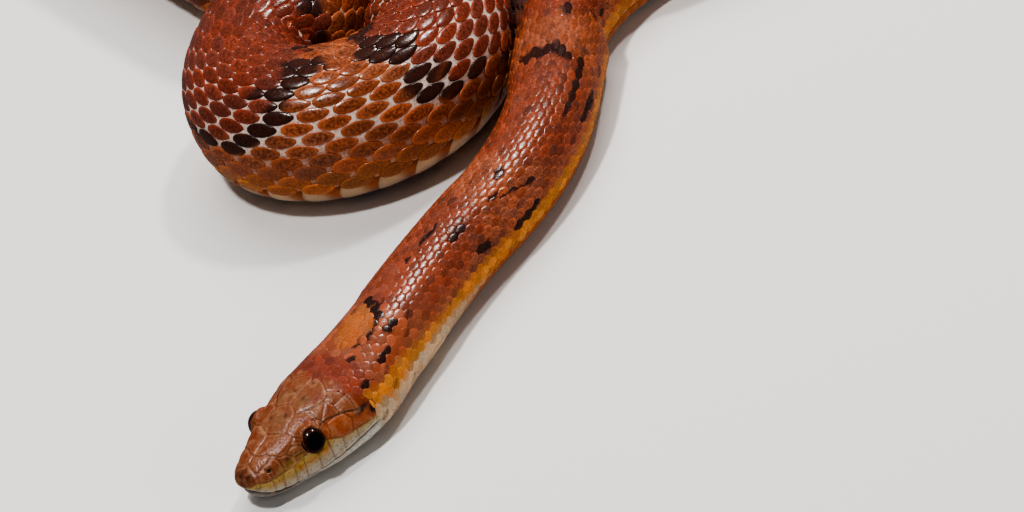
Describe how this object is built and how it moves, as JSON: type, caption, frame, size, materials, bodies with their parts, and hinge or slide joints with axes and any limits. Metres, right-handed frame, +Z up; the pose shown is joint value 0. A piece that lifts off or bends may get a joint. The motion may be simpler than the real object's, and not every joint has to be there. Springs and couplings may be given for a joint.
{
  "type": "corn snake",
  "caption": "Life-size still model of an adult corn snake lying in loose bends on the ground, with orange and brick-red saddles, its head low and pointed forwards.",
  "frame": {"origin": "centre of the snake's outline on the floor, at the level on which its belly rests", "axes": "+Z up from the floor; +X across the longest extent of the bends, from the head's side to the tail's side; +Y away from the head's side, so the snout points towards -X and -Y"},
  "size_m": [0.444, 0.3533, 0.0297],
  "materials": {
    "body_scales": "glossy smooth scales, brick red and orange with black borders, cream belly",
    "head_scales": "glossy head plates, orange brown",
    "lip_scales": "glossy cream and yellow plates",
    "eye": "polished, near-black pupil in a dark red-brown iris"
  },
  "bodies": {
    "root": {"head": "head_scales", "lower_jaw": "lip_scales", "eye_left": "eye", "eye_right": "eye", "neck_01": "body_scales", "neck_02": "body_scales", "trunk_01": "body_scales", "trunk_02": "body_scales", "trunk_03": "body_scales", "trunk_04": "body_scales", "trunk_05": "body_scales", "trunk_06": "body_scales", "trunk_07": "body_scales", "trunk_08": "body_scales", "trunk_09": "body_scales", "trunk_10": "body_scales", "trunk_11": "body_scales", "trunk_12": "body_scales", "trunk_13": "body_scales", "trunk_14": "body_scales", "trunk_15": "body_scales", "trunk_16": "body_scales", "trunk_17": "body_scales", "trunk_18": "body_scales", "trunk_19": "body_scales", "tail_01": "body_scales", "tail_02": "body_scales", "tail_03": "body_scales"}
  },
  "joints": []
}
